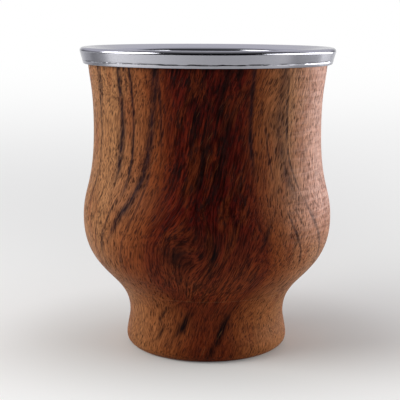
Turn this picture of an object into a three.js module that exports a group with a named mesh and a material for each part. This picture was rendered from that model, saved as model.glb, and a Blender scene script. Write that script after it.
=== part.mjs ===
// Wooden mate cup: a turned hardwood body, bored for a drawn steel liner, with a spun steel ferrule
// over the lip.
// Millimetres, +Z up. The foot stands on Z = 0 and the cup's axis is Z.
import * as THREE from 'three';

// Outline of the turned wood: the rises of its sections, one on top of the other, from the foot's edge up.
const FOOT_EDGE_RADIUS = 3;
const WAIST_RISE = 7.6;
const BELLY_RISE = 31.2;
const NECK_RISE = 29.1;
const LIP_RISE = 19.1;

// Radii of the turned wood. The neck is the liner with a wall of wood round it, and the belly and the lip
// are set from the neck.
const FOOT_RADIUS = 25.9;
const WAIST_CUT = 1.05;
const NECK_WALL = 4.05;
const BELLY_SWELL = 3.55;
const LIP_FLARE = 1.49;
const LIP_LEAN = 5;

// How long each sweep of the outline holds upright as it leaves one diameter and comes to the next, as a
// part of the sweep's own rise.
const FOOT_HOLD = 0.28;
const WAIST_HOLD_BELOW = 0.26;
const WAIST_HOLD_ABOVE = 0.44;
const BELLY_HOLD_BELOW = 0.58;
const BELLY_HOLD_ABOVE = 0.335;
const NECK_HOLD_BELOW = 0.66;
const NECK_HOLD_ABOVE = 0.58;
const LIP_HOLD = 0.315;

// Underside and bore.
const RESTING_WIDTH = 5.9;
const RECESS_DEPTH = 1;
const BORE_FLOOR_HEIGHT = 24;
const BORE_CORNER_RADIUS = 9.6;
const LIP_EDGE_RADIUS = 0.4;

// Liner, with its radius inside at the height of the neck.
const LINER_RADIUS = 31;
const LINER_TAPER = 4;
const LINER_CORNER_RADIUS = 9;

// Steel sheet, and the gap that one piece keeps to the next.
const SHEET = 0.6;
const FIT_GAP = 0.3;

// Ferrule: height from its hem to its crest, and the radii inside its bends.
const FERRULE_HEIGHT = 5.05;
const SEAM_GAP = 0.15;
const RIM_OVERHANG = 2.56;
const ROLL_INSIDE_RADIUS = 0.45;
const BAND_TAPER = 16;
const HEM_INSIDE_RADIUS = 0.4;
const HEM_TURN = 65;
const DISH_ANGLE = 10;
const COLLAR_DEPTH = 4;

// Adhesive.
const BOND_GAP = 0.2;
const PAD_RADIUS = 15;
const PAD_THICKNESS = 1.2;

// Facets.
const STEPS_AROUND = 48;
const STEPS_ALONG_SWEEP = 9;
const DEGREES_PER_FACET = 20;
const SAME_POINT = 1e-6;

// Heights and radii that follow from the sizes above.
const waistHeight = FOOT_EDGE_RADIUS + WAIST_RISE;
const bellyHeight = waistHeight + BELLY_RISE;
const neckHeight = bellyHeight + NECK_RISE;
const lipHeight = neckHeight + LIP_RISE;
const hemHeight = lipHeight + SEAM_GAP;
const crestHeight = hemHeight + FERRULE_HEIGHT;
const neckRadius = LINER_RADIUS + SHEET + FIT_GAP + NECK_WALL;
const lipRadius = neckRadius + LIP_FLARE;
const rimRadius = lipRadius + RIM_OVERHANG;
const padFloor = BORE_FLOOR_HEIGHT + BOND_GAP;
const linerFloor = padFloor + PAD_THICKNESS + BOND_GAP + SHEET;

// Sections are drawn in the half plane beside the axis: x is the radius and y is the height.
const at = (radius, height) => new THREE.Vector2(radius, height);

function direction(degrees) {
  const angle = THREE.MathUtils.degToRad(degrees);
  return at(Math.cos(angle), Math.sin(angle));
}

// A straight face: the way it looks, in degrees from outwards towards up, and how far it reaches that way.
function face(degrees, through) {
  const normal = direction(degrees);
  return { degrees, normal, reach: normal.dot(through) };
}

// The same face, set back by a depth.
function setBack(front, depth) {
  return { ...front, reach: front.reach - depth };
}

// The point where two faces meet.
function meet(a, b) {
  const turn = a.normal.cross(b.normal);
  return at(
    (a.reach * b.normal.y - b.reach * a.normal.y) / turn,
    (a.normal.x * b.reach - b.normal.x * a.reach) / turn,
  );
}

// The rounded corner between two faces. A hollow corner has a negative radius.
function bend(a, b, radius) {
  return { centre: meet(setBack(a, radius), setBack(b, radius)), radius, from: a.degrees, to: b.degrees };
}

// Points round a bend, at a depth behind its face.
function bendPoints({ centre, radius, from, to }, depth = 0) {
  const steps = Math.ceil(Math.abs(to - from) / DEGREES_PER_FACET);
  return Array.from({ length: steps + 1 }, (_, i) =>
    direction(THREE.MathUtils.lerp(from, to, i / steps)).multiplyScalar(radius - depth).add(centre));
}

// A sweep of the turned outline from one diameter to the next, upright at its start. It may end leaning out.
function sweep(start, end, holdStart, holdEnd, leanEnd = 0) {
  const rise = end.y - start.y;
  const leave = direction(90).multiplyScalar(rise * holdStart).add(start);
  const arrive = direction(90 - leanEnd).multiplyScalar(-rise * holdEnd).add(end);
  return new THREE.CubicBezierCurve(start, leave, arrive, end).getPoints(STEPS_ALONG_SWEEP);
}

// Turns a section about the cup's axis. Points that repeat where two stretches join are dropped.
function turned(name, section, material) {
  const points = section.filter((point, i) => i === 0 || point.distanceTo(section[i - 1]) > SAME_POINT);
  const geometry = new THREE.LatheGeometry(points, STEPS_AROUND).rotateX(Math.PI / 2);
  const mesh = new THREE.Mesh(geometry, material);
  mesh.name = name;
  return mesh;
}

// Faces that the pieces at the mouth share. The rolled rim runs into the dished top and into the band.
const rollRadius = ROLL_INSIDE_RADIUS + SHEET;
const rollCentre = at(rimRadius - rollRadius, crestHeight - rollRadius);
const rollTouch = (degrees) => direction(degrees).multiplyScalar(rollRadius).add(rollCentre);
const dishTop = face(90 + DISH_ANGLE, rollTouch(90 + DISH_ANGLE));
const bandFront = face(-BAND_TAPER, rollTouch(-BAND_TAPER));
const linerWall = face(180 - LINER_TAPER, at(LINER_RADIUS, neckHeight));

// From the wood outwards at the mouth lie the liner's flange and the ferrule's top, each with its gap.
const lap = SHEET + FIT_GAP;
const flangeTop = setBack(dishTop, lap);
const woodTop = setBack(flangeTop, lap);
const boreWall = setBack(linerWall, lap);
const collarFront = setBack(linerWall, -lap);

function makeWoodenBody() {
  const foot = at(FOOT_RADIUS, FOOT_EDGE_RADIUS);
  const waist = at(FOOT_RADIUS - WAIST_CUT, waistHeight);
  const belly = at(neckRadius + BELLY_SWELL, bellyHeight);
  const neck = at(neckRadius, neckHeight);
  const lip = at(lipRadius, lipHeight);
  const recessRadius = FOOT_RADIUS - FOOT_EDGE_RADIUS - RESTING_WIDTH;
  const ground = face(-90, at(0, 0));
  const footSide = face(0, foot);
  const boreFloor = face(90, at(0, BORE_FLOOR_HEIGHT));
  const section = [
    at(0, RECESS_DEPTH),
    at(recessRadius - RECESS_DEPTH, RECESS_DEPTH),
    at(recessRadius, 0),
    ...bendPoints(bend(ground, footSide, FOOT_EDGE_RADIUS)),
    ...sweep(foot, waist, FOOT_HOLD, WAIST_HOLD_BELOW),
    ...sweep(waist, belly, WAIST_HOLD_ABOVE, BELLY_HOLD_BELOW),
    ...sweep(belly, neck, BELLY_HOLD_ABOVE, NECK_HOLD_BELOW),
    ...sweep(neck, lip, NECK_HOLD_ABOVE, LIP_HOLD, LIP_LEAN),
    meet(face(0, lip), woodTop),
    ...bendPoints(bend(woodTop, boreWall, LIP_EDGE_RADIUS)),
    ...bendPoints(bend(boreWall, boreFloor, -BORE_CORNER_RADIUS)),
    at(0, BORE_FLOOR_HEIGHT),
  ];
  const wood = new THREE.MeshStandardMaterial({ color: 0x74391f, roughness: 0.5, metalness: 0 });
  return turned('wooden_body', section, wood);
}

// The liner's two faces, from the middle of its floor to the edge of its flange.
function makeSteelLiner() {
  const floor = face(90, at(0, linerFloor));
  const mouthRadius = LIP_EDGE_RADIUS + FIT_GAP + SHEET;
  const flangeEdge = face(0, at(lipRadius, 0));
  const corner = bend(floor, linerWall, -LINER_CORNER_RADIUS);
  const mouth = bend(linerWall, flangeTop, mouthRadius);
  const side = (depth) => [
    at(0, linerFloor - depth),
    ...bendPoints(corner, depth),
    ...bendPoints(mouth, depth),
    meet(setBack(flangeTop, depth), flangeEdge),
  ];
  const section = [...side(SHEET), ...side(0).reverse()];
  const steel = new THREE.MeshStandardMaterial({ color: 0xb4b4b8, roughness: 0.35, metalness: 1 });
  return turned('steel_liner', section, steel);
}

// The ferrule is one strip of sheet: the collar in the mouth, the dished top, the roll, the band and the hem.
function makeRimFerrule() {
  const mouthRadius = LIP_EDGE_RADIUS + 2 * lap;
  const hemRadius = HEM_INSIDE_RADIUS + SHEET;
  const hemEnd = -BAND_TAPER - HEM_TURN;
  const hemLine = face(90, at(0, hemHeight - hemRadius * direction(hemEnd).y));
  const mouth = bend(collarFront, dishTop, mouthRadius);
  const roll = { centre: rollCentre, radius: rollRadius, from: dishTop.degrees, to: bandFront.degrees };
  const hemCentre = meet(setBack(bandFront, hemRadius), hemLine);
  const hem = { centre: hemCentre, radius: hemRadius, from: bandFront.degrees, to: hemEnd };
  const collarEnd = (depth) =>
    direction(-90 - LINER_TAPER).multiplyScalar(COLLAR_DEPTH).add(bendPoints(mouth, depth)[0]);
  const bends = [mouth, roll, hem];
  const side = (depth) => [collarEnd(depth), ...bends.flatMap((each) => bendPoints(each, depth))];
  const section = [...side(0).reverse(), ...side(SHEET)];
  const steel = new THREE.MeshStandardMaterial({ color: 0xc9c9cc, roughness: 0.16, metalness: 1 });
  return turned('rim_ferrule', [...section, section[0]], steel);
}

// The ring of adhesive fills the hollow between the wood's upright lip and the band.
function makeLipGlueRing() {
  const inner = face(0, at(lipRadius + BOND_GAP, 0));
  const outer = setBack(bandFront, SHEET + BOND_GAP);
  const bottom = face(90, at(0, hemHeight + HEM_INSIDE_RADIUS + SHEET));
  const top = face(90, meet(face(0, at(lipRadius, 0)), setBack(woodTop, BOND_GAP)));
  const corners = [meet(inner, bottom), meet(outer, bottom), meet(outer, top), meet(inner, top)];
  const adhesive = new THREE.MeshStandardMaterial({ color: 0xd8cfae, roughness: 0.6, metalness: 0 });
  return turned('lip_glue_ring', [...corners, corners[0]], adhesive);
}

function makeBaseGluePad() {
  const padTop = padFloor + PAD_THICKNESS;
  const section = [at(0, padFloor), at(PAD_RADIUS, padFloor), at(PAD_RADIUS, padTop), at(0, padTop)];
  const adhesive = new THREE.MeshStandardMaterial({ color: 0xd8cfae, roughness: 0.6, metalness: 0 });
  return turned('base_glue_pad', section, adhesive);
}

const mateCup = new THREE.Group();
mateCup.name = 'mate_cup';
mateCup.add(makeWoodenBody(), makeSteelLiner(), makeRimFerrule(), makeLipGlueRing(), makeBaseGluePad());

export default mateCup;
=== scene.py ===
# %% [markdown]
# # A turned mate cup with a steel liner and a spun steel rim
# The cup is a block of streaky red hardwood, shaped on a lathe and bored out. A drawn steel cup lines the
# bore, and a ring of thin steel is spun over the lip. The packed model already fixes every size, so this
# lesson only gives the pieces smooth surfaces and true finishes, in metres, in the packed model's own frame.

# %% Load the packed cup
import math
import bpy
from mathutils import Matrix, Vector


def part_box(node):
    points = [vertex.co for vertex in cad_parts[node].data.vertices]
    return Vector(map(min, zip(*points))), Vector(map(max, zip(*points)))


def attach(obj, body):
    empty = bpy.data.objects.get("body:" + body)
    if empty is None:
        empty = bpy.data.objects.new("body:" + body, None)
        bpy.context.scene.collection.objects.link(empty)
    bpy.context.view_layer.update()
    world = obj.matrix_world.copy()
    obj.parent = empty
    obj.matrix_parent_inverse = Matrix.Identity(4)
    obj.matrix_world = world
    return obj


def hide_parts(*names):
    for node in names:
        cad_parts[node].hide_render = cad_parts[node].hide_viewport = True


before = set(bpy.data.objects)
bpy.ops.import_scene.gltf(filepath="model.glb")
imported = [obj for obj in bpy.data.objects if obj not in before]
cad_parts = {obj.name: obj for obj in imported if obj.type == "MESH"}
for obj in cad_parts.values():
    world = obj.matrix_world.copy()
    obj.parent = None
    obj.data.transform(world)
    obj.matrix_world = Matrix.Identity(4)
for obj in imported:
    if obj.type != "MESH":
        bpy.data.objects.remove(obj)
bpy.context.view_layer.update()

MM = 0.001
print("nodes:", ", ".join(sorted(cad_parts)))

# %% [markdown]
# ## Camera
# The cup was seen from a little above its rim through a fairly long lens, held almost level. A camera in
# Blender looks along its own -Z, so it is first stood up to look along +Y, then tipped down, and last rolled
# by a small angle about its own line of sight. Setting the whole matrix keeps those turns in that order.

# %% Camera
CAMERA_PLACE = Vector((-2.25, -324.8, 104.3)) * MM
CAMERA_DIP, CAMERA_ROLL = math.radians(10.11), math.radians(0.25)
LENS, SENSOR, NEAREST = 92.2, 36, 0.01


def show(made):
    bpy.context.scene.collection.objects.link(made)


camera = bpy.data.objects.new("camera", bpy.data.cameras.new("camera"))
camera.data.lens, camera.data.sensor_width, camera.data.clip_start = LENS, SENSOR, NEAREST
stood_up = Matrix.Rotation(math.pi / 2 - CAMERA_DIP, 4, "X")
camera.matrix_world = Matrix.Translation(CAMERA_PLACE) @ stood_up @ Matrix.Rotation(CAMERA_ROLL, 4, "Z")
show(camera)
bpy.context.scene.camera = camera
bpy.context.scene.view_settings.view_transform = "Standard"
print("camera in mm:", [round(c / MM, 1) for c in camera.matrix_world.translation])

# %% [markdown]
# ## Writing nodes as Python
# Both the lathe and the finishes are node trees. Wiring each Math node by hand hides the sums, so a small
# class wraps a socket and gives it the usual operators: `1 - mask` then adds the Math node by itself.
# One method makes every node: its type, its settings, and then the values or wires of its sockets.

# %% Sockets that take part in sums
class Wire:
    def __init__(self, tree, socket):
        self.tree, self.socket = tree, socket

    def __add__(self, other): return self.tree.maths("ADD", self, other)
    def __radd__(self, other): return self.tree.maths("ADD", other, self)
    def __sub__(self, other): return self.tree.maths("SUBTRACT", self, other)
    def __rsub__(self, other): return self.tree.maths("SUBTRACT", other, self)
    def __mul__(self, other): return self.tree.maths("MULTIPLY", self, other)
    def __rmul__(self, other): return self.tree.maths("MULTIPLY", other, self)
    def __truediv__(self, other): return self.tree.maths("DIVIDE", self, other)
    def __rtruediv__(self, other): return self.tree.maths("DIVIDE", other, self)
    def __pow__(self, other): return self.tree.maths("POWER", self, other)
    def __mod__(self, other): return self.tree.maths("MODULO", self, other)


operators = [name for name, value in vars(Wire).items() if callable(value) and name != "__init__"]
print("a wire knows", ", ".join(operators))

# %% A tree that makes its nodes
def pick(sockets, key):
    if isinstance(key, int):
        return sockets[key]
    return next((s for s in sockets if s.identifier == key), None) or sockets[key]


def set_stops(elements, stops):
    while len(elements) < len(stops):
        elements.new(0.5)
    for element, (position, colour) in zip(elements, stops):
        element.position, element.color = position, colour


class Tree:
    def __init__(self, node_tree):
        self.nodes, self.links = node_tree.nodes, node_tree.links
        self.nodes.clear()

    def node(self, kind, settings=None, sockets=None, out=0):
        made = self.nodes.new(kind)
        for name, value in (settings or {}).items():
            if name == "stops":
                set_stops(made.color_ramp.elements, value)
            else:
                setattr(made, name, value)
        for key, value in (sockets or {}).items():
            socket = pick(made.inputs, key)
            if isinstance(value, Wire):
                self.links.new(value.socket, socket)
            else:
                socket.default_value = value
        return Wire(self, pick(made.outputs, out)) if made.outputs else made

    def maths(self, operation, *terms):
        return self.node("ShaderNodeMath", {"operation": operation}, dict(enumerate(terms)))


print("a tree has", Tree.node.__name__, "for any node and", Tree.maths.__name__, "for sums")

# %% Small tools for wires
def split(vector, axes="XYZ"):
    return [vector.tree.node("ShaderNodeSeparateXYZ", {}, {0: vector}, out=axis) for axis in axes]


def join(x, y, z):
    return x.tree.node("ShaderNodeCombineXYZ", {}, {"X": x, "Y": y, "Z": z})


def ease(value, low, high):
    return value.tree.node("ShaderNodeMapRange", {"interpolation_type": "SMOOTHSTEP"},
                           {"Value": value, "From Min": low, "From Max": high})


def hump(value, middle, width):
    off = (value - middle) / width
    return value.tree.maths("EXPONENT", 0 - off * off)


print("ease climbs from 0 to 1, hump is a bell of height 1")

# %% [markdown]
# ## Sections
# Everything on this cup is round, so each piece is known from its section: a line in the half plane beside
# the axis, with the radius across and the height up, in millimetres. The wood's outline is a row of sweeps
# from one turned diameter to the next. The steel is bent sheet, so its section is straight faces joined by
# bends, drawn once for the front of the sheet and once more a sheet's thickness behind. A face is known by
# the way it looks, in degrees from outwards towards up, and by how far it reaches that way.

# %% Drawing helpers
def at(radius, height):
    return Vector((radius, height))


def towards(degrees):
    return at(math.cos(math.radians(degrees)), math.sin(math.radians(degrees)))


def face(degrees, through):
    return degrees, towards(degrees).dot(through)


def set_back(front, depth):
    return front[0], front[1] - depth


def meet(a, b):
    (na, ra), (nb, rb) = (towards(a[0]), a[1]), (towards(b[0]), b[1])
    crossing = na.x * nb.y - na.y * nb.x
    return at((ra * nb.y - rb * na.y) / crossing, (na.x * rb - nb.x * ra) / crossing)


def arc(centre, radius, start, end, step):
    count = max(1, math.ceil(abs(end - start) / step))
    return [centre + towards(start + (end - start) * i / count) * radius for i in range(count + 1)]


def bend(a, b, radius, depth=0, step=6):
    return arc(meet(set_back(a, radius), set_back(b, radius)), radius - depth, a[0], b[0], step)


def sweep(start, end, hold_start, hold_end, lean=0, step=0.5):
    rise = end.y - start.y
    leave, arrive = start + towards(90) * rise * hold_start, end - towards(90 - lean) * rise * hold_end
    count = math.ceil((end - start).length / step)
    return [(1 - t) ** 3 * start + 3 * t * (1 - t) ** 2 * leave
            + 3 * t * t * (1 - t) * arrive + t ** 3 * end
            for t in (i / count for i in range(count + 1))]


def straight(start, end, step):
    count = max(1, math.ceil((end - start).length / step))
    return [start.lerp(end, i / count) for i in range(count + 1)]


print("helpers ready: arcs, bends and sweeps in mm")

# %% Sizes of the mouth
DISH_LOOKS, BAND_LOOKS, WALL_LOOKS = 100, -16, 176
SHEET, FIT_GAP, ROLL_RADIUS, LINER_RADIUS, NECK_HEIGHT = 0.6, 0.3, 1.05, 31, 70.9
rim_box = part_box("rim_ferrule")
rim_radius, crest = rim_box[1].x / MM, rim_box[1].z / MM
lap = SHEET + FIT_GAP
roll_centre = at(rim_radius - ROLL_RADIUS, crest - ROLL_RADIUS)
dish_top = face(DISH_LOOKS, roll_centre + towards(DISH_LOOKS) * ROLL_RADIUS)
band_front = face(BAND_LOOKS, roll_centre + towards(BAND_LOOKS) * ROLL_RADIUS)
liner_wall = face(WALL_LOOKS, at(LINER_RADIUS, NECK_HEIGHT))
flange_top = set_back(dish_top, lap)
wood_top = set_back(flange_top, lap)
bore_wall = set_back(liner_wall, lap)
collar_front = set_back(liner_wall, -lap)
print("rim radius and crest in mm:", round(rim_radius, 2), round(crest, 2))

# %% [markdown]
# ## A lathe made of Geometry Nodes
# A lathe turns a section into a round piece. The Screw modifier could do that, but a small node tree can also
# work the surface as it turns it: here it can press an uneven crease round a piece, as a crimping roller
# does. A grid gets one column for each step round and one row for each point of the section. Each grid point
# looks up its section point by number and is put at its own angle. Merging by distance closes the seam and
# the poles.

# %% The lathe
SAME_PLACE = 0.002 * MM
LATHE_INPUTS = {
    "Section": "Geometry", "Steps Around": "Int", "Crease Height": "Float", "Crease Width": "Float",
    "Crease Depth": "Float", "Crease Least Radius": "Float", "Seed": "Float", "Finish": "Material"}


def make_lathe():
    group = bpy.data.node_groups.new("lathe", "GeometryNodeTree")
    for name, kind in LATHE_INPUTS.items():
        group.interface.new_socket(name, in_out="INPUT", socket_type="NodeSocket" + kind)
    group.interface.new_socket("Turned", in_out="OUTPUT", socket_type="NodeSocketGeometry")
    tree = Tree(group)

    def ask(name):
        return tree.node("NodeGroupInput", out=name)

    section, steps = ask("Section"), ask("Steps Around")
    points = tree.node("GeometryNodeAttributeDomainSize", {"component": "MESH"}, {"Geometry": section})
    grid = tree.node("GeometryNodeMeshGrid", {}, {"Vertices X": steps + 1, "Vertices Y": points})
    number = tree.node("GeometryNodeInputIndex")
    row = number % points
    column = (number - row) / points
    spot = tree.node("GeometryNodeSampleIndex", {"data_type": "FLOAT_VECTOR", "domain": "POINT"}, {
        "Geometry": section, "Value": tree.node("GeometryNodeInputPosition"), "Index": row})
    radius, height = split(spot, "XZ")
    angle = column / steps * math.tau
    across, ahead = tree.maths("COSINE", angle), tree.maths("SINE", angle)
    uneven = tree.node("ShaderNodeTexNoise", {"noise_dimensions": "4D"}, {
        "Vector": join(across, ahead, height * 300), "W": ask("Seed"), "Scale": 14, "Detail": 3})
    groove = hump(height, ask("Crease Height"), ask("Crease Width")) * ask("Crease Depth")
    pressed = groove * (0.15 + 0.85 * ease(uneven, 0.44, 0.62))
    outside = tree.maths("GREATER_THAN", radius, ask("Crease Least Radius"))
    worked = radius - pressed * outside
    round_form = tree.node("GeometryNodeSetPosition", {}, {
        "Geometry": grid, "Position": join(worked * across, worked * ahead, height)})
    closed = tree.node("GeometryNodeMergeByDistance", {}, {"Geometry": round_form, "Distance": SAME_PLACE})
    smooth = tree.node("GeometryNodeSetShadeSmooth", {}, {"Geometry": closed})
    real = tree.node("GeometryNodeRealizeInstances", {}, {"Geometry": smooth})
    finished = tree.node("GeometryNodeSetMaterial", {}, {"Geometry": real, "Material": ask("Finish")})
    tree.node("NodeGroupOutput", {}, {"Turned": finished})
    return group


lathe = make_lathe()
print("lathe inputs:", [item.name for item in lathe.interface.items_tree if item.in_out == "INPUT"])

# %% [markdown]
# ## From section to finished piece
# The section becomes a string of loose points, the lathe is put on it as a modifier, and the evaluated
# result is copied into a plain mesh, so no modifier is left. The inputs are set by their identifiers, because
# names may repeat. Corners that the tool leaves sharp stay sharp, and all the rest is shaded smooth. A closed
# piece whose faces point outwards has a positive volume, which is checked before the piece is used.

# %% Turning a piece
STEPS_AROUND, SEED, SHARP_CORNER, SAME_POINT = 320, 3.0, math.radians(38), 1e-4


def mesh_volume(mesh):
    mesh.calc_loop_triangles()
    corners = [v.co for v in mesh.vertices]
    return sum(corners[a].dot(corners[b].cross(corners[c]))
               for a, b, c in (t.vertices for t in mesh.loop_triangles)) / 6


def turn(name, section, finish, **sizes):
    points = [p for i, p in enumerate(section) if i == 0 or (p - section[i - 1]).length > SAME_POINT]
    string = bpy.data.meshes.new(name + "_section")
    string.from_pydata([(p.x * MM, 0, p.y * MM) for p in points], [], [])
    blank = bpy.data.objects.new(name + "_section", string)
    show(blank)
    modifier = blank.modifiers.new("lathe", "NODES")
    modifier.node_group = lathe
    values = {"Steps Around": STEPS_AROUND, "Crease Width": 1.0, "Seed": SEED, "Finish": finish, **sizes}
    for item in lathe.interface.items_tree:
        if item.in_out == "INPUT" and item.name in values:
            modifier[item.identifier] = values[item.name]
    evaluated = blank.evaluated_get(bpy.context.evaluated_depsgraph_get())
    mesh = bpy.data.meshes.new_from_object(evaluated)
    bpy.data.objects.remove(blank)
    mesh.name = name
    mesh.set_sharp_from_angle(angle=SHARP_CORNER)
    piece = bpy.data.objects.new(name, mesh)
    show(piece)
    volume = mesh_volume(mesh)
    assert volume > 0, name + " is inside out"
    print(name, len(mesh.loop_triangles), "triangles,", round(volume * 1e6, 2), "cubic cm")
    return piece


print("pieces are turned in", STEPS_AROUND, "steps")

# %% [markdown]
# ## Wood
# The block is a dense red hardwood with the heart of the tree at the front. Its figure is solid: it runs
# through the block, and the tool only uncovers it. So the finish is a solid pattern on Object coordinates.
# The distance from the pith, which lies just in front of the cup, gives the growth rings. A colour ramp over
# that distance sets the dark heart, amber bands and tan wood, and stretched noise adds the streaks.

# %% Colours of the wood
def shade(red, green, blue):
    linear = [(c / 255 + 0.055) ** 2.4 / 1.055 ** 2.4 if c > 10 else c / 3294.6 for c in (red, green, blue)]
    return (*linear, 1.0)


def new_finish(name):
    made = bpy.data.materials.new(name)
    made.use_nodes = True
    return made, Tree(made.node_tree)


TAN, ROSE_AND_SHEEN, AMBER = shade(149, 104, 68), shade(176, 127, 108), shade(140, 84, 44)
RUSSET, EMBER, OXBLOOD = shade(114, 52, 24), shade(98, 33, 17), shade(66, 15, 10)
UMBER, RUST, PAINTED_HIGHLIGHT = shade(92, 42, 19), shade(112, 52, 24), shade(214, 170, 152)
DUSK, INK, PORE = shade(34, 18, 22), shade(18, 7, 7), shade(34, 15, 12)
wood_finish, wood = new_finish("oiled_streaky_hardwood")
print("tan in linear light:", [round(c, 3) for c in TAN[:3]])

# %% Helpers for patterns
def in_mm(tree):
    coords = tree.node("ShaderNodeTexCoord", out="Object")
    return tree.node("ShaderNodeVectorMath", {"operation": "SCALE"}, {0: coords, "Scale": 1 / MM})


def stretch(vector, x, y, z):
    return vector.tree.node("ShaderNodeVectorMath", {"operation": "MULTIPLY"}, {0: vector, 1: (x, y, z)})


def noise(vector, detail=2.0, roughness=0.5, out=0):
    return vector.tree.node("ShaderNodeTexNoise", {}, {
        "Vector": vector, "Scale": 1.0, "Detail": detail, "Roughness": roughness}, out)


def blend(factor, a, b, how="MIX"):
    tree = next(each.tree for each in (factor, a, b) if isinstance(each, Wire))
    return tree.node("ShaderNodeMix", {"data_type": "RGBA", "blend_type": how},
                     {"Factor_Float": factor, "A_Color": a, "B_Color": b}, out="Result_Color")


print("patterns are drawn in millimetres")

# %% [markdown]
# ### Growth rings
# The grain of a tree is never quite straight, so the coordinates are first swayed by slow noise. Rings,
# streaks and pores all read the swayed coordinates and move together, as they do in real wood. The rings
# stand closer on one side of the pith than on the other, and open out where the belly swells.

# %% Swayed grain
BROAD_SWAY, FINE_SWAY = 7.0, 1.8
place = in_mm(wood)


def sway(vector, across, along, reach):
    drift = noise(stretch(place, 1 / across, 1 / across, 1 / along), 1.0, out="Color")
    centred = wood.node("ShaderNodeVectorMath", {"operation": "SUBTRACT"}, {0: drift, 1: (0.5, 0.5, 0.5)})
    return wood.node("ShaderNodeVectorMath", {"operation": "MULTIPLY_ADD"},
                     {0: centred, 1: (reach, reach, 0), 2: vector})


gx, gy, gz = split(sway(sway(place, 34, 60, BROAD_SWAY), 8, 22, FINE_SWAY))
print("grain sways by up to", (BROAD_SWAY + FINE_SWAY) / 2, "mm")

# %% Growth rings
PITH_X, PITH_Y = 1.0, -42.0


def from_pith(squeeze):
    tighter = (0.15 + 0.2 * ease(gz, 50, 70)) * ease(gx, 2, 16)
    across = (gx - PITH_X) * squeeze * (1 + tighter)
    ahead = gy - PITH_Y - 1.5 * (1 - ease(gz, 5, 42))
    return (across * across + ahead * ahead) ** 0.5


ring = from_pith(1 - 0.28 * hump(gz, 30, 18))
streak_ring = from_pith(1 - 0.44 * hump(gz, 30, 20))
print("pith at", PITH_X, PITH_Y, "mm from the cup's axis")

# %% [markdown]
# ### Fibres
# The fibres lean over and part round a knot low on the front. Upright fibres would be cut off short on the
# underside of the belly and show as dots there. Dividing by the outline's own radius lets them follow the
# swell of the cup, so they show as streaks at every height.

# %% Fibres
KNOT_X, KNOT_Z, FIBRE_RADIUS = -6.2, 38.5, 36


def lean(z):
    return 0.47 * z - 0.002 * z * z


front = 1 - ease(gy, -14, -6)
slant = lean(gz) + 3.0 * ease(gz, 74, 94)
swell = FIBRE_RADIUS / (25.2 + 14.2 * ease(gz, 10, 40) - 3.4 * ease(gz, 45, 70))
knot = hump(gx, KNOT_X, 10) * hump(gz, KNOT_Z, 9) * front
fibre = join(gx * swell - slant - (gx - KNOT_X) * knot * 0.9, gy * swell, gz)


def along_fibres(width, length):
    return stretch(fibre, 1 / width, 1 / width, 1 / length)


def drawn_out(width, length, detail=2.0, roughness=0.5):
    return noise(along_fibres(width, length), detail, roughness)


print("knot at", KNOT_X, "mm across and", KNOT_Z, "mm up")

# %% [markdown]
# ### Colours and streaks
# The ramp gives each ring its colour, and soft noise along the fibres clouds it. Thin dark lines run along
# the rings. In the heart, black streaks follow the fibres: fine ones that noise scatters, and a few large
# ones that are each put in a place of their own. An image could do the same, but only for the side it shows.

# %% Bands of colour
RINGS = 90.0
bands = [
    (0, OXBLOOD), (10, OXBLOOD), (13.5, shade(80, 22, 12)), (16, shade(96, 38, 18)),
    (18.5, shade(118, 60, 29)), (23, shade(128, 74, 41)), (29, shade(144, 93, 57)),
    (34, TAN), (52, TAN), (58, AMBER), (66, RUSSET), (74, AMBER), (86, TAN)]
body = wood.node("ShaderNodeValToRGB", {"stops": [(r / RINGS, c) for r, c in bands]}, {"Fac": ring / RINGS})
# Painted sheen: the right flank, on its front half and higher up, is painted paler and pinker, partly as
# paler wood and partly as the right lamp's sheen.
sheen_flank = ease(gx, 21, 35) * (1 - ease(gy, -8, 8)) * (0.15 + 0.85 * ease(gz, 32, 50))
heart = 1 - ease(ring, 12.0, 17.5)
cloud = drawn_out(5, 18, 3.0)
body = blend(sheen_flank, body, ROSE_AND_SHEEN)
body = blend(ease(cloud, 0.48, 0.74) * (1 - heart) * 0.5, body, RUSSET)
body = blend(heart * ease(drawn_out(3.6, 9, 3.0), 0.46, 0.62) * 0.6, body, UMBER)
body = blend(heart * (1 - ease(gz, 18, 50)) * 0.85, body, RUST)
body = blend(ease(gx * gx, 70, 300) * (1 - ease(gz, 12, 26)) * 0.4, body, AMBER)
body = blend(heart * ease(drawn_out(2.8, 13, 3.0), 0.5, 0.68) * 0.7, body, EMBER)
print(len(bands), "bands from the pith outwards")

# %% Streaks along the rings
left = 1 - ease(gx, -6, 4)
right = 1 - left
# Distance from the pith, width, side, and the heights between which the streak sets in.
ring_streaks = (
    (29.5 - 0.125 * gz, 1.2, left, 34, 46),
    (26.6, 0.6, left, 45, 60),
    (31.0, 1.1, left, 52, 62),
    (17.0, 1.1, right, 55, 68),
    (29.5, 2.0, 0.7 * right, 45, 60))
broken = ease(drawn_out(0.7, 4.5), 0.34, 0.6)
line = ease(noise(join(streak_ring / 2.1, gx / 20, gz / 50), 3.0), 0.58, 0.68)
line = line * 0.7 * (1 - heart) * (0.3 + 0.7 * ease(gz, 18, 36))
for middle, width, side, low, high in ring_streaks:
    line = wood.maths("MAXIMUM", line, hump(streak_ring, middle, width) * side * ease(gz, low, high))
line = line * (0.6 + 0.4 * broken)
body = blend(line, body, DUSK)
print(len(ring_streaks), "long streaks along the rings")

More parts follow.
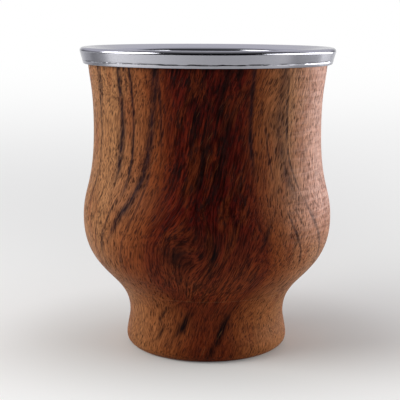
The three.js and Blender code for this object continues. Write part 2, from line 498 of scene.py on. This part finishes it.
# %% Dark streaks in the heart
# Distance across, height, half width, half length and depth of each streak on the front.
heart_streaks = (
    (4.8, 69, 1.3, 12, 1.0), (3.2, 85, 1.3, 7, 1.0), (-1.6, 66, 1.2, 13, 1.0),
    (-9.0, 37.0, 4.0, 5, 0.9), (2.8, 37, 1.3, 6.5, 1.0), (17.4, 41.5, 0.8, 4, 0.9),
    (26.6, 38, 0.5, 4.5, 0.7), (-7.3, 12, 1.2, 4.2, 1.4), (5.8, 10.5, 1.3, 6.5, 1.3),
    (-14.0, 8.5, 0.6, 2.5, 0.9), (-13.5, 14.5, 0.6, 2.5, 0.9), (2.0, 4.0, 1.0, 3.0, 0.9))
ink = ease(drawn_out(1.6, 13, 4.0, 0.6), 0.515, 0.6) * heart * (0.5 + 0.45 * ease(gz, 44, 62))
for x, z, width, length, depth in heart_streaks:
    streak = hump(gx - slant, x - lean(z), width) * hump(gz, z, length)
    ink = wood.maths("MAXIMUM", ink, streak * front * depth)
body = blend(ink * (0.62 + 0.38 * broken), body, INK)
print(len(heart_streaks), "dark streaks in the heart")

# %% [markdown]
# ### Pores and threads
# Hardwood carries sap in long vessels. Cut open, they show as dark dashes about a third of a millimetre
# wide. A Voronoi pattern drawn out along the fibres gives one dash to a cell. The ground between them gets
# fine light and dark threads, which stand out most in the heart.

# %% Pores and threads
def dashes(width, length, small, large, grow=0.0):
    cell = wood.node("ShaderNodeTexVoronoi", {"feature": "F1"}, {
        "Vector": along_fibres(width, length), "Scale": 1.0, "Randomness": 1.0})
    return 1 - ease(cell - grow, small, large)


thin_out = ease(drawn_out(3, 9), 0.28, 0.52)
vessel = dashes(1.2, 4.6, 0.13, 0.3, 0.16 * line)
pore = wood.maths("MAXIMUM", dashes(0.5, 2.4, 0.16, 0.42) * (0.35 + 0.65 * thin_out), vessel)
thread = drawn_out(0.55, 6, 3.0, 0.7)
hollow = blend(heart, (0.56, 0.51, 0.48, 1), (0.3, 0.26, 0.24, 1))
raised = blend(heart, (1.26, 1.24, 1.22, 1), (1.62, 1.58, 1.55, 1))
body = blend(1.0, body, blend(ease(thread, 0.35, 0.65), hollow, raised), "MULTIPLY")
body = blend(pore * 0.78, body, PORE)
silk = ease(noise(join((gx - gz * 0.62) / 0.4, gy / 3, gz / 6), 1.0), 0.67, 0.76) * ease(cloud, 0.45, 0.6)
body = blend(silk * 0.25, body, TAN)
print("pores about 0.3 mm wide and 1 mm long")

# %% [markdown]
# ### Tool marks and oil
# The gouge leaves fine rings at every height, which show where light grazes the flank, and one faint ridge
# where the waist's hollow meets the belly. Both also get a painted highlight: pale streaks on the marks of
# the right flank and a pale line along the ridge. The oil soaks in, so the surface is satin and the pores
# stay dull.

# %% Relief and finish of the wood
RIDGE_HEIGHT, RIDGE_WIDTH, RELIEF = 20.4, 0.28, 0.05
marks = noise(join(gx / 14, gy / 14, gz / 1.1), 3.0, 0.6)
(height,) = split(place, "Z")
ridge = hump(height, RIDGE_HEIGHT, RIDGE_WIDTH)
# Painted highlight: the ridge is also painted a little paler along its length, on top of its relief.
body = blend(ridge * broken * 0.16, body, TAN)
# Painted highlight: pale streaks are painted on the tool marks of the right flank, where the lamp glints on
# them.
body = blend(ease(marks, 0.42, 0.66) * sheen_flank * thread * 0.7, body, PAINTED_HIGHLIGHT)
relief = wood.node("ShaderNodeBump", {}, {
    "Height": marks + ridge * 1.2 - pore * 1.2 + thread * 0.4, "Strength": 1.0, "Distance": RELIEF * MM})
oil = wood.node("ShaderNodeBsdfPrincipled", {}, {
    "Base Color": body, "Roughness": 0.36 + pore * 0.3 + 0.12 * thread, "Normal": relief,
    "Specular IOR Level": 0.05, "IOR": 1.45})
wood.node("ShaderNodeOutputMaterial", {}, {"Surface": oil})
print("wood finish:", len(wood.nodes), "nodes")

# %% [markdown]
# ## Wooden body
# The section starts at the axis in the shallow recess under the foot, runs out over the flat resting ring,
# up the outside through waist, belly and neck to the lip, and back down the bore.

# %% Wooden body
FOOT_RADIUS, FOOT_EDGE, RECESS, RESTING_WIDTH = 25.9, 3.0, 1.0, 5.9
NECK_RADIUS, LIP_RADIUS, LIP_HEIGHT, LIP_EDGE, LIP_LEAN = 35.95, 37.44, 90.0, 0.4, 5
BORE_FLOOR, BORE_CORNER = 24.0, 9.6
foot, waist, belly = at(FOOT_RADIUS, FOOT_EDGE), at(24.85, 10.6), at(39.5, 41.8)
neck, lip = at(NECK_RADIUS, NECK_HEIGHT), at(LIP_RADIUS, LIP_HEIGHT)
recess = FOOT_RADIUS - FOOT_EDGE - RESTING_WIDTH
ground, bore_floor = face(-90, at(0, 0)), face(90, at(0, BORE_FLOOR))
wood_section = [
    *straight(at(0, RECESS), at(recess - RECESS, RECESS), 1.0),
    *straight(at(recess - RECESS, RECESS), at(recess, 0), 0.5),
    *bend(ground, face(0, foot), FOOT_EDGE, step=7.5),
    *sweep(foot, waist, 0.28, 0.26), *sweep(waist, belly, 0.44, 0.58),
    *sweep(belly, neck, 0.335, 0.66), *sweep(neck, lip, 0.58, 0.315, LIP_LEAN),
    meet(face(0, lip), wood_top),
    *bend(wood_top, bore_wall, LIP_EDGE, step=20),
    *bend(bore_wall, bore_floor, -BORE_CORNER, step=10),
    at(0, BORE_FLOOR)]
wooden_body = turn("turned_body", wood_section, wood_finish)

# %% [markdown]
# ## Steel
# Polished steel shows its room more than itself. What makes it look like sheet that was spun by hand is
# small: fine lines round the axis, a slightly uneven polish, and the crease above the hem. The lines read the
# direction round the axis and the height, so they run round without a seam.

# %% Finish of the steel
class Steel:
    def __init__(self, name, line_width):
        self.finish, self.tree = new_finish(name)
        spot = in_mm(self.tree)
        x, y, self.z = split(spot)
        self.reach = (x * x + y * y + 0.01) ** 0.5
        self.east, self.north = x / self.reach, y / self.reach
        turned_lines = (self.z * 0.9 + self.reach * 0.7) / line_width
        self.lines = noise(join(self.east * 1.4, self.north * 1.4, turned_lines), 3.0, 0.7)
        self.smears = noise(stretch(spot, 0.16, 0.16, 0.5), 3.0, 0.6)

    def polish(self, colour, finest, dullest, dull, line_depth):
        bump = self.tree.node("ShaderNodeBump", {}, {
            "Height": self.lines, "Strength": 1.0, "Distance": line_depth * MM})
        shine = finest + (dullest - finest) * (self.smears * 0.6 + self.lines * 0.4)
        metal = self.tree.node("ShaderNodeBsdfPrincipled", {}, {
            "Base Color": colour, "Metallic": 1.0, "Roughness": shine + dull, "Normal": bump,
            "Specular Tint": (0.72, 0.72, 0.74, 1)})
        self.tree.node("ShaderNodeOutputMaterial", {}, {"Surface": metal})
        print(self.finish.name, "has", len(self.tree.nodes), "nodes")


print("steel is drawn with lines round the axis")

# %% Rim and liner finishes
CREASE_HEIGHT = 91.3
rim = Steel("polished_rim_steel", line_width=0.1)
spots = noise(join(rim.east * 9, rim.north * 9, rim.z * 1.2), 3.0, 0.7)
# Painted shade and dirt: the crease above the hem is painted dark in uneven dashes, where shade falls into
# the groove.
crease_shade_and_dirt = hump(rim.z, CREASE_HEIGHT, 0.14) * ease(spots, 0.46, 0.6) * ease(rim.reach, 38.4, 38.6)
rim_colour = blend(rim.smears * 0.25, shade(168, 168, 175), shade(172, 175, 186))
rim_colour = blend(crease_shade_and_dirt * 0.85, rim_colour, shade(40, 38, 40))
rim.polish(rim_colour, finest=0.08, dullest=0.2, dull=crease_shade_and_dirt * 0.3, line_depth=0.0012)

liner = Steel("satin_liner_steel", line_width=0.22)
liner_colour = blend(liner.smears * 0.4, shade(216, 216, 219), shade(190, 191, 196))
liner.polish(liner_colour, finest=0.25, dullest=0.45, dull=0.04 * liner.lines, line_depth=0.003)

# %% [markdown]
# ## Steel liner
# The liner is a drawn cup: a flat floor, a large corner radius, a wall that widens a little towards the
# mouth, and a flange that lies on the wood's lip under the ferrule.

# %% Steel liner
LINER_FLOOR, LINER_CORNER, FLAT_RADIUS = 26.2, 9.0, 18
liner_floor, flange_edge = face(90, at(0, LINER_FLOOR)), face(0, at(LIP_RADIUS, 0))


def liner_side(depth):
    return [*straight(at(0, LINER_FLOOR - depth), at(FLAT_RADIUS, LINER_FLOOR - depth), 1.0),
            *bend(liner_floor, liner_wall, -LINER_CORNER, depth),
            *bend(liner_wall, flange_top, LIP_EDGE + FIT_GAP + SHEET, depth),
            meet(set_back(flange_top, depth), flange_edge)]


steel_liner = turn("drawn_liner", [*liner_side(SHEET), *reversed(liner_side(0))], liner.finish)

# %% [markdown]
# ## Rim ferrule
# One strip of sheet is spun over the lip. It drops into the mouth as a collar, rises over a dished top to a
# rolled edge, runs down and a little inwards as the band, and ends in a hem at the wood. A crimping roller
# left the hem's strip steeper than the band and slightly round, with a small corner at the bottom. Its crease
# is uneven, so the lathe presses it as it turns the piece.

# %% Rim ferrule
HEM_RADIUS, HEM_END, HEM_CORNER, HEM_TUCK, SEAM_GAP = 1.0, -81, 0.35, 38.3, 0.15
STRIP_LOOKS, STRIP_RADIUS = -10, 7.5
COLLAR_DEPTH, MOUTH_RADIUS, MOUTH_EDGE = 5.5, LIP_EDGE + 2 * lap, 1.0
CREASE = {"Crease Height": CREASE_HEIGHT * MM, "Crease Width": 0.16 * MM, "Crease Depth": 0.1 * MM,
          "Crease Least Radius": 38.7 * MM}
hem_bottom = LIP_HEIGHT + SEAM_GAP
hem_line = face(90, at(0, hem_bottom - HEM_RADIUS * towards(HEM_END).y))
hem_centre = meet(set_back(band_front, HEM_RADIUS), hem_line)
crease_line = meet(band_front, face(90, at(0, CREASE_HEIGHT)))
strip = arc(crease_line - towards(STRIP_LOOKS) * STRIP_RADIUS, STRIP_RADIUS, STRIP_LOOKS, BAND_LOOKS, 1)
hem_ground = face(-90, at(0, hem_bottom))
collar_end = meet(collar_front, dish_top) + towards(WALL_LOOKS - 270) * COLLAR_DEPTH


def ferrule_side(depth):
    mouth = bend(collar_front, dish_top, MOUTH_RADIUS, depth)
    roll = arc(roll_centre, ROLL_RADIUS - depth, DISH_LOOKS, BAND_LOOKS, 5)
    hem = arc(hem_centre, HEM_RADIUS - depth, BAND_LOOKS, HEM_END, 5)
    if depth == 0:
        mouth = bend(collar_front, dish_top, MOUTH_EDGE)
        corner = bend(face(BAND_LOOKS, strip[-1]), hem_ground, HEM_CORNER)
        hem = [*strip, *corner, at(HEM_TUCK, hem_bottom)]
    band = straight(roll[-1], hem[0], 0.08)
    collar = straight(collar_end - towards(WALL_LOOKS) * depth, mouth[0], 0.5)
    return [*collar, *mouth, *roll, *band, *hem]


ferrule_section = [*reversed(ferrule_side(0)), *ferrule_side(SHEET)]
rim_ferrule = turn("spun_ferrule", [*ferrule_section, ferrule_section[0]], rim.finish, **CREASE)

# %% [markdown]
# ## Adhesive
# Two lines of cured resin hold the steel to the wood. They are hidden, and their packed solids stay as they
# are. They still get a finish: a slightly clouded, matt amber resin.

# %% Adhesive
glue_lines = ("lip_glue_ring", "base_glue_pad")
resin_finish, resin_tree = new_finish("cured_resin")
murk = noise(stretch(in_mm(resin_tree), 0.4, 0.4, 0.4), 3.0)
resin = resin_tree.node("ShaderNodeBsdfPrincipled", {}, {
    "Base Color": blend(murk, shade(224, 210, 170), shade(196, 178, 132)), "Roughness": 0.5 + 0.25 * murk})
resin_tree.node("ShaderNodeOutputMaterial", {}, {"Surface": resin})
for name in glue_lines:
    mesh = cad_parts[name].data
    mesh.materials.clear()
    mesh.materials.append(resin_finish)
print("resin on", len(glue_lines), "hidden pieces")

# %% [markdown]
# ## Table
# The cup stands on a white table that ends a quarter of a metre in front of it. A table has an edge and a far
# end, which would show as lines, so for the camera's own rays it fades to plain white further out; in front
# of the cup that fade starts at once, as painted light. Polished metal shows whatever is near: a painted
# shadow on either side, which the camera itself never sees, turns the two ends of the band grey. Close round
# the cup the table is painted darker, as painted shade.

# %% Fade of the table
PLAIN_RADIUS, FADE_LENGTH = 0.055, 0.34


def ray_kinds(tree):
    return [tree.node("ShaderNodeLightPath", out=f"Is {kind} Ray")
            for kind in ("Camera", "Glossy", "Transmission")]


table_finish, table = new_finish("white_table")
table_place = table.node("ShaderNodeTexCoord", out="Object")
tx, ty = split(table_place, "XY")
camera_ray, glossy_ray, clear_ray = ray_kinds(table)
away = (tx * tx + ty * ty) ** 0.5
fade = 1 - table.maths("EXPONENT", (PLAIN_RADIUS - away) / FADE_LENGTH)
fade = table.maths("MAXIMUM", fade, ease(tx * tx, 0.04, 0.17))
# In front the camera's fade starts right at the cup, so it paints light onto the table just in front of it.
fade = table.maths("MAXIMUM", fade, ease(0 - ty, 0.0, 0.12)) * camera_ray
fade = fade + (glossy_ray + clear_ray) * ease(ty, 0.1, 0.6)
print("the fade takes", len(table.nodes), "nodes")

# %% White of the table
WHITE = (1, 1, 1, 1)
# Painted shadows: a patch on either side of the cup is painted darker where its shadows fall, and only the
# metal's reflections see them.
left_painted_shadow = ease(0 - tx, 0.13, 0.18) * ease(ty, 0.0, 0.08) * (1 - ease(ty, 0.2, 0.28))
right_painted_shadow = ease(tx, 0.12, 0.17) * ease(ty, -0.09, -0.03) * (1 - ease(ty, 0.13, 0.2))
painted_shadows = (left_painted_shadow + right_painted_shadow) * (1 - camera_ray)
# Painted shade: the table is painted darker close round the cup and paler further out, with a little random
# tone.
painted_shade_and_tone = ease(away, 0.035, 0.085) + 0.1 * noise(stretch(table_place, 9, 9, 9))
pale = blend(painted_shade_and_tone, shade(222, 222, 219), shade(239, 239, 237))
paper = table.node("ShaderNodeBsdfPrincipled", {}, {
    "Base Color": blend(painted_shadows, pale, shade(170, 170, 170)), "Roughness": 0.7, "Specular IOR Level": 0.2})
glow = table.node("ShaderNodeEmission", {}, {"Color": WHITE, "Strength": 1.0})
surface = table.node("ShaderNodeMixShader", {}, {0: fade, 1: paper, 2: glow})
table.node("ShaderNodeOutputMaterial", {}, {"Surface": surface})
print("table finish:", len(table.nodes), "nodes")

# %% Table top
TABLE_REACH, TABLE_FRONT = 3.0, 0.26
top_mesh = bpy.data.meshes.new("table_top")
top_mesh.from_pydata([(-TABLE_REACH, -TABLE_FRONT, 0), (TABLE_REACH, -TABLE_FRONT, 0),
                      (TABLE_REACH, TABLE_REACH, 0), (-TABLE_REACH, TABLE_REACH, 0)], [], [(0, 1, 2, 3)])
top_mesh.materials.append(table_finish)
floor = bpy.data.objects.new("table_top", top_mesh)
show(floor)
print("table", 2 * TABLE_REACH, "m across")

# %% [markdown]
# ## Room and lights
# The side of the room behind the camera is dark and grows lighter upwards, which gives the polished roll its
# black line. The far side is pale, with a white sheet low at the back for the metal to mirror, and the camera
# itself sees plain white all round. Two soft lights with round ends stand low beside the cup. The left one is
# near, a little in front, and throws the shadow to the right. The right one is long and lies almost level.

# %% Room
room = bpy.data.worlds.new("room")
room.use_nodes = True
bpy.context.scene.world = room
air = Tree(room.node_tree)
back, up = split(air.node("ShaderNodeTexCoord", out="Generated"), "YZ")
camera_ray, glossy_ray, clear_ray = ray_kinds(air)
mirrored = glossy_ray + clear_ray
far_side = ease(back, -0.2, 0.5) * (0.28 + 0.72 * ease(up, 0.05, 0.3))
dark_side = blend(ease(up, 0.42, 0.72), (0.01, 0.01, 0.012, 1), (0.13, 0.13, 0.135, 1))
pale_side = blend(mirrored, (0.68, 0.68, 0.72, 1), (0.94, 0.93, 1.0, 1))
walls = blend(ease(up, 0.8, 0.97), blend(far_side, dark_side, pale_side), (0.46, 0.46, 0.47, 1))
sheet = ease(back, 0.85, 0.97) * (1 - ease(up, 0.1, 0.3))
sky = air.node("ShaderNodeBackground", {}, {
    "Color": blend(camera_ray + mirrored * sheet, walls, WHITE), "Strength": 1.0})
air.node("ShaderNodeOutputWorld", {}, {"Surface": sky})
print("room:", len(air.nodes), "nodes")

# %% Lights
LAMP_COLOUR, AIM = (1.0, 0.99, 0.98), Vector((0, 0, 0.05))


def soft_light(name, spot, size, twist, watts):
    lamp = bpy.data.lights.new(name, "AREA")
    lamp.shape, lamp.energy, lamp.color = "ELLIPSE", watts, LAMP_COLOUR
    lamp.size, lamp.size_y = size
    made = bpy.data.objects.new(name, lamp)
    made.location = spot
    aim = (AIM - Vector(spot)).to_track_quat("-Z", "Y").to_matrix()
    made.rotation_euler = (aim @ Matrix.Rotation(math.radians(twist), 3, "Z")).to_euler()
    made.visible_camera = False
    show(made)
    print(name, watts, "W,", size[0], "m long")


soft_light("left_light", (-0.36, -0.095, 0.2), (0.44, 0.2), 25, 1.55)
soft_light("right_light", (0.46, 0.05, 0.105), (1.05, 0.18), -9, 2.95)

# %% [markdown]
# ## Handing over
# Each new piece rides on the cup's one body, and its packed node is hidden.

# %% Hand over
handed_over = (
    (wooden_body, "wooden_body", "turned_wood"),
    (steel_liner, "steel_liner", "liner_steel"),
    (rim_ferrule, "rim_ferrule", "rim_steel"))
for piece, node, slot in handed_over:
    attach(piece, "root")
    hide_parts(node)
